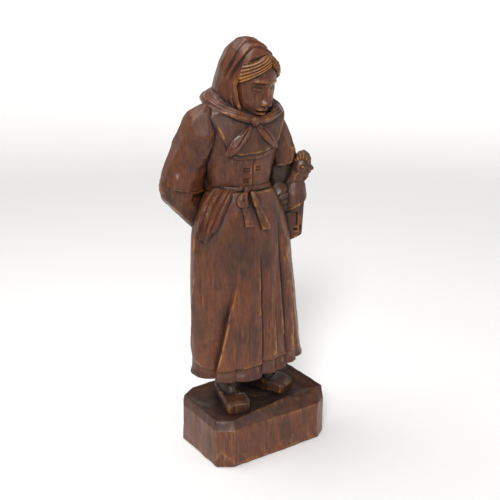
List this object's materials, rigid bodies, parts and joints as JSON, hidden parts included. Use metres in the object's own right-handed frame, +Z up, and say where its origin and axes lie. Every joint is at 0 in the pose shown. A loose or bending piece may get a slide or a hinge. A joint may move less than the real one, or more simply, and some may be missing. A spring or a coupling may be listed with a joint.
{
  "type": "carved farmer woman figure",
  "caption": "Carved wooden figure of a farmer woman in headscarf, shawl and apron, a hand in the apron and a hen under one arm, standing on a bevelled plinth; shelf ornament.",
  "frame": {"origin": "middle of the plinth's underside", "axes": "+Z up along the figure; the figure faces -Y and its left side, with the hen, is at +X"},
  "size_m": [0.1127, 0.0641, 0.2992],
  "materials": {
    "stained_wood": "walnut stain under satin varnish, worn lighter on the edges",
    "dark_wood": "walnut stain left dark in the deep cuts, satin",
    "worn_wood": "stain worn to golden wood, satin",
    "bare_wood": "unstained dowel, matt"
  },
  "bodies": {
    "root": {"right_foot_dowel": "bare_wood", "left_foot_dowel": "bare_wood", "neck_dowel": "bare_wood", "right_shoe": "dark_wood", "left_shoe": "dark_wood", "waistband": "stained_wood", "left_forearm": "dark_wood", "hair_right": "worn_wood", "hair_left": "worn_wood", "hen_comb": "worn_wood", "plinth": "stained_wood", "skirt": "stained_wood", "bodice": "stained_wood", "head": "stained_wood", "apron": "stained_wood", "apron_gathers": "stained_wood", "bow_knot": "stained_wood", "bow_loop_right": "stained_wood", "bow_loop_left": "stained_wood", "bow_tail_right": "stained_wood", "bow_tail_left": "stained_wood", "shawl": "stained_wood", "headscarf": "stained_wood", "scarf_collar": "stained_wood", "scarf_knot": "stained_wood", "scarf_tail_right": "stained_wood", "scarf_tail_left": "stained_wood", "hen_body": "stained_wood", "hen_tail": "stained_wood", "hen_wing": "stained_wood", "left_hand": "dark_wood", "left_sleeve": "stained_wood", "right_sleeve": "stained_wood", "right_forearm": "stained_wood"}
  },
  "joints": []
}
